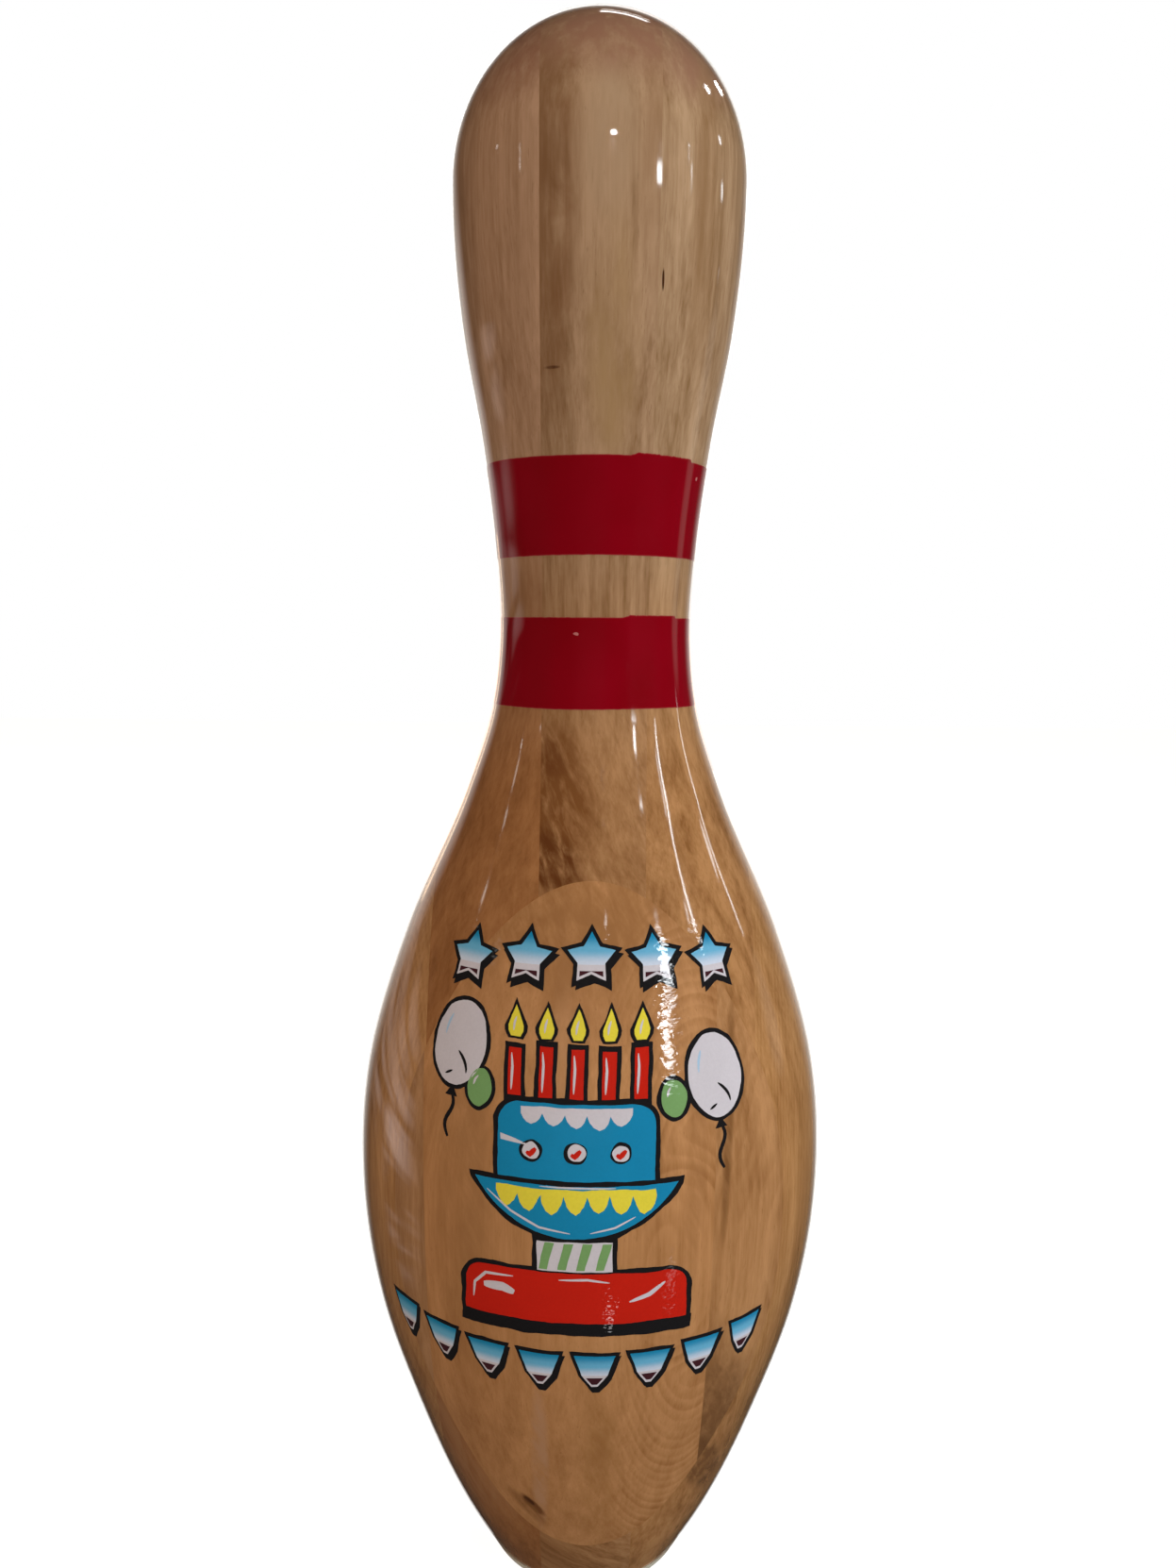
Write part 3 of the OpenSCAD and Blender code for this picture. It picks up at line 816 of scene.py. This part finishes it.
def filled(outlines):
    """(points, triangles) that fill the union of closed outlines, with a grid of points inside."""
    points, faces = [], []
    for line in outlines:
        faces.append(list(range(len(points), len(points) + len(line))))
        points += [Vector(p) for p in line]
    low = [min(p[i] for p in points) for i in (0, 1)]
    high = [max(p[i] for p in points) for i in (0, 1)]
    columns, rows = (int((high[i] - low[i]) / INK_GRID) for i in (0, 1))
    inner = [Vector((low[0] + INK_GRID * (i + 0.5), low[1] + INK_GRID * (j + 0.37)))
             for i in range(columns) for j in range(rows)]
    flat, _, triangles, _, _, _ = geometry.delaunay_2d_cdt(points + inner, [], faces, 1, 1e-4)
    facing_out = []
    for a, b, c in triangles:
        if (flat[b] - flat[a]).cross(flat[c] - flat[a]) < 0:
            b, c = c, b
        facing_out.append((a, b, c))
    return flat, facing_out


class Ink:
    """One ink of the picture: all its flat shapes, wrapped onto the pin."""

    def __init__(self):
        self.bm = bmesh.new()
        self.tone = self.bm.verts.layers.float.new("tone")

    def wrapped(self, flat, used, angle, depth, tone):
        """The used flat points as vertices on the pin, at a depth."""
        turn = Matrix.Rotation(math.radians(angle), 3, "Z")
        made = {}
        for v in used:
            x, z = flat[v]
            y = -math.sqrt(radius(z, depth) ** 2 - x * x)
            made[v] = self.bm.verts.new(turn @ Vector((x, y, z)))
            made[v][self.tone] = tone(x, z)
        return made

    def print(self, angle, depth, outlines, tone=lambda x, z: 0.0):
        """Prints the union of closed outlines as a thin closed layer. tone gives the ink's shade."""
        flat, triangles = filled(outlines)
        used = sorted({v for t in triangles for v in t})
        front, back = [self.wrapped(flat, used, angle, d, tone) for d in (depth, depth + INK_T)]
        edges = {}
        for a, b, c in triangles:
            self.bm.faces.new((front[a], front[b], front[c]))
            self.bm.faces.new((back[a], back[c], back[b]))
            edges.update(dict.fromkeys(((a, b), (b, c), (c, a))))
        for a, b in edges:
            if (b, a) not in edges:
                self.bm.faces.new((front[b], front[a], back[a], back[b]))

    def finish(self, name, material, slot_name, node):
        return finish_mesh(self.bm, name, (ACCENT, BACKING), material, slot_name, [node])


def ink(name, colour, second=None, third=None):
    """A printed ink. Its tone runs from colour at 0 over second at 0.5 to third at 1."""
    s = Shade(name)
    shade = colour
    if second:
        tone = s.attribute("tone")
        shade = s.mix(s.step(tone, 0.0, 0.5), colour, second)
        shade = s.mix(s.step(tone, 0.5, 1.0), shade, third or second)
    grain = s.noise((1.7, 1.7, 1.7), detail=3.0)
    cloud = s.noise((0.08, 0.08, 0.08), detail=2.0)
    light = s.add(s.add(s.times(grain, 0.16), s.times(cloud, 0.14)), 0.85)
    shade = s.mix(1.0, shade, s.join(light, light, light), kind="MULTIPLY")
    return s.coated(shade, 0.45, s.bump(grain, 0.01, 0.5))


def row_places(count, step, turn=0.0):
    return [(turn + (k - (count - 1) / 2) * step, k - (count - 1) / 2) for k in range(count)]


def print_badge(inks, shape, angle, z, seed, fade_high, dark_low):
    """A star or flag: thick black edge with a drop shadow, blue that fades to white, and dark lower tips."""
    def tone(x, h):
        return min(1.0, max(0.0, (z + fade_high - h) / (fade_high - FADE)))

    shadow = moved(by_hand(shape(LINE_W * 0.8), seed + 1, 0.2), 0.55, z - 1.0)
    edge = moved(by_hand(shape(LINE_W), seed, 0.22), 0, z)
    inks["black"].print(angle, BACKING, [edge, shadow])
    face = moved(by_hand(shape(0.0), seed, 0.12), 0, z)
    split = z + FADE
    inks["blue"].print(angle, COLOUR, [above(face, split)], tone)
    inks["white"].print(angle, COLOUR, [below(face, split)])
    dark = moved(by_hand(shape(-0.7), seed, 0.1), 0, z)
    inks["black"].print(angle, DETAIL, [below(dark, z - dark_low)], lambda x, h: 1.0)


def brush(inks, name, angle, path, width, blunt=0.25):
    """One brush stroke over the picture."""
    inks[name].print(angle, DETAIL, [stroke(path, width, blunt)])


def print_balloon(inks, angle, z, size, colour, seed):
    inks["black"].print(angle, BACKING, [by_hand(oval(*size, LINE_W * 0.85, 0, z), seed, 0.25)])
    inks[colour].print(angle, COLOUR, [by_hand(oval(*size, 0.0, 0, z), seed + 2, 0.2)])


def print_string(inks, angle, z, seed):
    top = z - BIG_BALLOON[1]
    knot = [(-1.7, top - 2.4), (1.7, top - 2.4), (0.3, top - 0.4), (-0.3, top - 0.4)]
    path = [(0.9 * math.sin(k * 0.55), top - 1.6 - 0.85 * k) for k in range(13)]
    inks["black"].print(angle, BACKING + APART, [by_hand(knot, seed, 0.1)])
    inks["black"].print(angle, BACKING + 2 * APART, [stroke(path, 1.0, blunt=0.6)])


def print_balloons(inks):
    for k, (angle, z) in enumerate(BIG_PLACES):
        print_string(inks, angle, z, 60 + k)
        print_balloon(inks, angle, z, BIG_BALLOON, "white", 40 + 5 * k)
        shine = [(-4.4 + 0.25 * j * j * 0.3, z + 1.2 + 1.15 * j) for j in range(5)]
        brush(inks, "black", angle, [(3.2 - 0.12 * j * j, z - 6.2 + 0.9 * j) for j in range(6)], 0.75)
        brush(inks, "black", angle, [(-2.6 + 0.5 * j, z - 7.2 + 0.25 * j) for j in range(5)], 0.6)
        inks["blue"].print(angle, DETAIL, [stroke(shine, 0.6)], lambda x, h: 0.75)
    for k, (angle, z) in enumerate(SMALL_PLACES):
        print_balloon(inks, angle, z, SMALL_BALLOON, "green", 50 + 5 * k)
        brush(inks, "white", angle, [(-1.6, z + 0.4), (-1.3, z + 1.6), (-0.6, z + 2.5)], 0.55)


def print_foot(inks):
    """The red foot of the cake stand, with its black sole."""
    a = MOTIF_TURN
    sole = bar(FOOT_HALF_W + LINE_W, FOOT_LOW - 3.5, FOOT_LOW)
    edge = tier(FOOT_HALF_W, FOOT_LOW, FOOT_HIGH, LINE_W)
    inks["black"].print(a, BACKING, [by_hand(sole, 3, 0.3), by_hand(edge, 4, 0.25)])
    inks["red"].print(a, COLOUR, [by_hand(tier(FOOT_HALF_W, FOOT_LOW, FOOT_HIGH, 0.0), 5, 0.2)])
    brush(inks, "white", a, [(-23.6, 108.5), (-23.2, 112.5), (-20.5, 115.6), (-14.0, 116.0)], 0.7)
    brush(inks, "white", a, [(-21.0, 112.6), (-16.5, 112.8), (-13.8, 111.8)], 2.3, 0.5)
    brush(inks, "white", a, [(12.5, 110.6), (17.0, 112.2), (20.5, 115.0)], 1.1)
    brush(inks, "white", a, [(-3.5, 116.3), (3.0, 116.6), (8.0, 115.8)], 0.6)


def print_stem(inks):
    """The stem, in slanting green and white stripes."""
    a = MOTIF_TURN
    low, high = FOOT_HIGH + LINE_W, DISH_LOW - LINE_W
    edge = bar(STEM_HALF_W + LINE_W, FOOT_HIGH, DISH_LOW + 2)
    inks["black"].print(a, BACKING + APART, [by_hand(edge, 7, 0.2)])
    inks["white"].print(a, COLOUR, [by_hand(bar(STEM_HALF_W, low - 0.6, high + 0.4), 8, 0.12)])
    for k in range(4):
        x = -STEM_HALF_W + 0.4 + 4.3 * k
        band = [(x, low - 0.2), (x + 1.9, low - 0.2), (x + 3.6, high + 0.1), (x + 1.4, high + 0.1)]
        inks["green"].print(a, DETAIL, [by_hand(clip(band, lambda p: STEM_HALF_W - p[0]), 70 + k, 0.14)])


def print_dish(inks):
    """The blue dish on the stem, with yellow icing under its rim."""
    a = MOTIF_TURN
    inks["black"].print(a, BACKING + 2 * APART, [by_hand(dish(LINE_W), 9, 0.25)])
    inks["blue"].print(a, COLOUR, [by_hand(dish(0.0), 10, 0.15)])
    trim = by_hand(icing(DISH_HALF_W - 5, DISH_HIGH - 0.9, 4.0, 7), 12, 0.3)
    inks["yellow"].print(a, DETAIL, [trim])
    rim = [(-DISH_HALF_W + 3.0, DISH_HIGH - 2.6), (-14.5, 132.2), (-8.0, 129.0), (-1.0, 127.9)]
    brush(inks, "white", a, rim, 0.55)
    brush(inks, "white", a, [(3.5, 128.1), (9.0, 129.4), (13.5, 131.8)], 0.45)
    brush(inks, "white", a, [(-8.0, DISH_HIGH - 0.35), (9.0, DISH_HIGH - 0.35)], 0.4)


def print_cake(inks):
    """The blue cake, with white icing and three round sweets."""
    a = MOTIF_TURN
    edge = tier(CAKE_HALF_W, DISH_HIGH, CAKE_HIGH, LINE_W)
    inks["black"].print(a, BACKING + 3 * APART, [by_hand(edge, 14, 0.25)])
    body = tier(CAKE_HALF_W, DISH_HIGH + LINE_W, CAKE_HIGH, 0.0)
    inks["blue"].print(a, COLOUR, [by_hand(body, 15, 0.15)])
    cover = icing(CAKE_HALF_W - CORNER_R, CAKE_HIGH - 0.9, 2.6, 5)
    inks["white"].print(a, DETAIL, [by_hand(cover, 16, 0.22)])
    wedge = [(-17.0, 149.6), (-13.6, 148.8), (-9.6, 147.4), (-12.8, 147.8), (-16.9, 148.2)]
    inks["white"].print(a, DETAIL, [spread(wedge, 0.9)])
    for k in range(3):
        x, z = 10.0 * (k - 1), 146.5
        inks["black"].print(a, DETAIL, [by_hand(oval(2.55, 2.45, 0.0, x, z), 80 + k, 0.3)])
        inks["white"].print(a, ACCENT, [by_hand(oval(1.95, 1.85, 0.0, x, z), 84 + k, 0.3)])
        tick = stroke([(x - 1.0, z - 0.3), (x - 0.2, z - 0.9), (x + 1.1, z + 0.6)], 1.2, 0.5)
        inks["red"].print(a, ACCENT - 0.02, [tick])


def print_candles(inks):
    """Five red candles of slightly different heights, with yellow flames."""
    a = MOTIF_TURN
    for k in range(5):
        x = (k - 2) * CANDLE_STEP
        seed = 90 + 3 * k
        tall = CANDLE_HIGH + 0.35 * ((k * 5) % 3 - 1)
        edge = bar(CANDLE_HALF_W + LINE_W * 0.85, CAKE_HIGH - 1, tall + LINE_W, x)
        inks["black"].print(a, BACKING + 4 * APART, [by_hand(edge, seed, 0.22)])
        inks["red"].print(a, COLOUR, [by_hand(bar(CANDLE_HALF_W, CAKE_HIGH + LINE_W, tall, x), seed, 0.12)])
        shine = [(x - 0.75, CAKE_HIGH + 2.2), (x - 0.55, tall - 4.0), (x - 0.8, tall - 1.2)]
        brush(inks, "white", a, shine, 0.6)
        inks["black"].print(a, BACKING, [by_hand(flame(LINE_W * 0.8, x), seed + 1, 0.2)])
        inks["yellow"].print(a, COLOUR, [by_hand(flame(0.0, x), seed + 1, 0.12)])
        brush(inks, "white", a, [(x - 0.5, 171.6), (x - 0.35, 173.2), (x + 0.1, 174.6)], 0.5)


def make_picture():
    inks = {name: Ink() for name in ("black", "white", "blue", "yellow", "red", "green")}
    for k, (angle, place) in enumerate(row_places(5, ROWS_ANGLE["star"])):
        print_badge(inks, star, angle, STAR_Z - STAR_DROP * place ** 2, 100 + 7 * k, 5.0, 2.5)
    for k, (angle, place) in enumerate(row_places(8, ROWS_ANGLE["flag"], FLAG_TURN)):
        print_badge(inks, flag, angle, FLAG_Z + FLAG_RISE * place ** 2, 200 + 7 * k, 4.4, 1.9)
    print_foot(inks)
    print_stem(inks)
    print_dish(inks)
    print_cake(inks)
    print_candles(inks)
    print_balloons(inks)
    colours = {
        "black": ink("black_ink", (0.012, 0.011, 0.012), (0.03, 0.012, 0.014), (0.055, 0.014, 0.020)),
        "white": ink("white_ink", (0.62, 0.58, 0.62)),
        "blue": ink("blue_ink", (0.010, 0.235, 0.440), (0.14, 0.44, 0.66), (0.62, 0.68, 0.80)),
        "yellow": ink("yellow_ink", (0.78, 0.66, 0.055)),
        "red": ink("red_ink", (0.56, 0.016, 0.007)),
        "green": ink("green_ink", (0.19, 0.36, 0.13)),
    }
    for name, layer in inks.items():
        layer.finish("pin_print_" + name, colours[name], name + "_ink", "print_" + name)


# --- Stage, lights and camera -----------------------------------------

FLOOR_HALF = 3.0
FLOOR_GLOW = 0.80      # what the floor adds to itself for the camera, so that no horizon shows
AMBIENT, FROM_BELOW = 0.30, 0.19
MIRROR, REAR = 0.03, 0.85
AIM_Z = 0.20
WHITE, COOL, WARM, NEUTRAL = (1, 1, 1), (0.90, 0.96, 1.0), (1.0, 0.76, 0.58), (1.0, 0.97, 0.93)


def make_floor():
    mesh = bpy.data.meshes.new("floor")
    corners = [(x * FLOOR_HALF, y * FLOOR_HALF, 0) for x, y in ((-1, -1), (1, -1), (1, 1), (-1, 1))]
    mesh.from_pydata(corners, [], [(0, 1, 2, 3)])
    floor = bpy.data.objects.new("floor", mesh)
    bpy.context.scene.collection.objects.link(floor)
    s = Shade("floor")
    pale = s.new("BsdfPrincipled", base_color=(0.80, 0.80, 0.80), roughness=0.9, specular_ior_level=0.1)
    seen = s.new("LightPath").outputs["Is Camera Ray"]
    glow = s.new("Emission", strength=s.times(seen, FLOOR_GLOW))
    s.put(s.surface, s.fill("AddShader", pale.outputs[0], glow.outputs[0]).outputs[0])
    mesh.materials.append(s.material)
    floor.visible_glossy = False
    floor.visible_diffuse = False


def toward(azimuth, elevation):
    a, e = math.radians(azimuth), math.radians(elevation)
    return Vector((math.sin(a) * math.cos(e), -math.cos(a) * math.cos(e), math.sin(e)))


# Soft things that only the lacquer shows: azimuth, elevation, inner and outer half angle, colour, brightness,
# and 1 for those with hanging folds.
REFLECTIONS = (
    (-106, -22, 4, 18, (1.0, 0.84, 0.80), 0.85, 1),
    (-108, -8, 4, 18, (1.0, 0.84, 0.80), 0.85, 1),
    (-132, -8, 2, 14, (1.0, 0.84, 0.80), 0.45, 1),
    (-146, 4, 3, 14, (1.0, 0.86, 0.80), 0.50, 0),
    (-172, -5, 1, 8, (1.0, 0.34, 0.10), 3.0, 0),
    (112, 0, 2, 8, (1.0, 0.97, 0.90), 0.40, 0),
    (172, 12, 3, 13, (0.92, 0.97, 1.0), 2.6, 0),
)


def background(s, colour, strength):
    return s.new("Background", color=colour, strength=strength).outputs[0]


def hanging_folds(s, direction):
    """0 to 1 over the directions of the room, in bands that lean a little."""
    lean = s.new("Mapping", vector=direction, rotation=(0.10, 0.0, 0.0), scale=(0.80, 0.80, 0.050))
    lean.vector_type = "TEXTURE"
    bands = s.new("TexNoise", vector=lean.outputs[0], scale=1.0)
    return s.step(bands.outputs["Fac"], 0.42, 0.62)


def make_world():
    """White to the camera, and a dim room otherwise: darker below, and brighter behind the pin."""
    world = bpy.data.worlds.new("studio")
    bpy.context.scene.world = world
    s = Nodes(world, "OutputWorld")
    path = s.new("LightPath").outputs
    direction = s.new("TexCoord").outputs["Generated"]
    part = s.new("SeparateXYZ", vector=direction).outputs
    room = background(s, (1.0, 0.86, 0.74), s.step(part["Z"], -0.5, 0.5, FROM_BELOW, AMBIENT))
    mirror = background(s, (1.0, 0.93, 0.86), s.step(part["Y"], 0.72, 1.0, MIRROR, REAR))
    folds = hanging_folds(s, direction)
    for azimuth, elevation, inner, outer, colour, glow, folded in REFLECTIONS:
        near = s.vector("DOT_PRODUCT", direction, toward(azimuth, elevation))
        edge, middle = (math.cos(math.radians(a)) for a in (outer, inner))
        strength = s.step(near, edge, middle, 0.0, glow)
        if folded:
            strength = s.times(strength, folds)
        mirror = s.fill("AddShader", mirror, background(s, colour, strength)).outputs[0]
    dim = s.fill("MixShader", path["Is Glossy Ray"], room, mirror).outputs[0]
    seen = s.fill("MixShader", path["Is Camera Ray"], dim, background(s, WHITE, 1.0)).outputs[0]
    s.put(s.surface, seen)


def make_light(name, azimuth, distance, height, size, glow, colour=WHITE, aim=AIM_Z, spread=180, body=False):
    """An area light that faces the pin, at a distance from its axis and a height, in metres.

    glow is its brightness along its axis, where 1 is the white of the background. A body light gives the
    pin its colour without a reflection. The others are only reflections, and a small spread keeps one to a
    part of the pin.
    """
    place = toward(azimuth, 0) * distance + Vector((0, 0, height))
    light = bpy.data.lights.new(name, "AREA")
    light.shape = "RECTANGLE"
    light.size, light.size_y = size
    half = math.radians(spread) / 2
    light.energy = glow * math.pi * size[0] * size[1] * (1 - half / math.tan(half))
    light.color = colour
    light.spread = math.radians(spread)
    lamp = bpy.data.objects.new(name, light)
    bpy.context.scene.collection.objects.link(lamp)
    lamp.location = place
    lamp.rotation_euler = (place - Vector((0, 0, aim))).to_track_quat("Z", "Y").to_euler()
    lamp.visible_camera = False
    lamp.visible_glossy = not body
    lamp.visible_diffuse = body


# Soft lights for the body colour. Columns as in make_light.
BODY_LIGHTS = (
    ("key", 60, 1.4, 0.62, (1.1, 1.1), 4.6, COOL),
    ("front_fill", -4, 1.7, 0.50, (1.0, 1.0), 2.2, NEUTRAL),
    ("left_fill", -70, 1.6, 0.35, (1.0, 1.2), 1.5, WARM),
    ("back_fill", 165, 1.8, 0.60, (1.2, 1.2), 2.2, NEUTRAL),
)
# Small bright lights that only the lacquer shows.
LAMPS = (
    ("lamp_front", 9.5, 0.40, 0.494, (0.024, 0.018), 110, WHITE, 0.36, 36),
    ("lamp_front_low", 9.5, 0.40, 0.462, (0.008, 0.008), 40, WHITE, 0.120, 12),
    ("lamp_right", 43.5, 0.44, 0.462, (0.030, 0.030), 34, COOL, 0.336, 18),
    ("lamp_right_neck", 44.5, 0.44, 0.434, (0.020, 0.046), 38, COOL, 0.217, 16),
    ("lamp_right_belly", 44.5, 0.45, 0.343, (0.040, 0.115), 40, COOL, 0.114, 19),
    ("lamp_right_low", 39.0, 0.45, 0.270, (0.040, 0.090), 40, COOL, 0.124, 19),
    ("lamp_far_right", 69, 0.90, 0.655, (0.022, 0.030), 10, COOL),
    ("lamp_shoulder", 71, 0.60, 0.475, (0.014, 0.110), 30, COOL, 0.19, 24),
    ("window_shoulder", 107, 0.60, 0.355, (0.012, 0.120), 14, COOL, 0.18, 20),
    ("window_middle", 106, 2.0, 0.91, (0.09, 0.08), 8, COOL),
    ("window_high", 106, 2.0, 1.28, (0.09, 0.12), 10, COOL),
    ("lamp_high_right", 120, 2.0, 2.15, (0.13, 0.13), 40),
    ("lamp_high_edge", 143, 2.0, 1.78, (0.13, 0.13), 30),
    ("lamp_behind", 172, 1.5, 2.2, (0.45, 0.12), 5),
    ("lamp_left", -84, 1.5, 0.88, (0.045, 0.05), 5, NEUTRAL),
    ("lamp_left_two", -62, 1.5, 0.82, (0.035, 0.04), 5, NEUTRAL),
    ("lamp_left_shoulder", -83, 0.60, 0.462, (0.012, 0.022), 34, NEUTRAL, 0.236, 5),
    ("lamp_left_low", -152, 1.6, 0.20, (0.08, 0.25), 2.5, (1.0, 0.70, 0.42)),
    ("lamp_low", 11, 1.0, -0.70, (0.05, 0.07), 8),
    ("lamp_low_right", 40, 1.0, -0.50, (0.03, 0.14), 2),
)


def make_camera():
    """A phone-like camera close in front of the neck, looking down a little."""
    pitch, yaw, roll = 0.282, 0.003, 0.010
    place = (0.0, -0.300, 0.258)
    data = bpy.data.cameras.new("camera")
    data.sensor_fit = "VERTICAL"
    data.sensor_height = 36.0
    data.lens = 27.57
    data.shift_y = 0.12
    data.clip_start = 0.01
    camera = bpy.data.objects.new("camera", data)
    bpy.context.scene.collection.objects.link(camera)
    turn = (Matrix.Rotation(yaw, 4, "Z") @ Matrix.Rotation(math.pi / 2 - pitch, 4, "X")
            @ Matrix.Rotation(roll, 4, "Z"))
    camera.matrix_world = Matrix.Translation(place) @ turn
    bpy.context.scene.camera = camera


# --- Everything together ----------------------------------------------

for board in BOARDS:
    make_board(board)
make_base_ring()
make_clear_coat()
for stripe in STRIPES:
    make_stripe(stripe)
make_picture()
make_floor()
make_world()
for row in BODY_LIGHTS:
    make_light(*row, body=True)
for row in LAMPS:
    make_light(*row)
make_camera()
bpy.context.scene.view_settings.view_transform = "Standard"
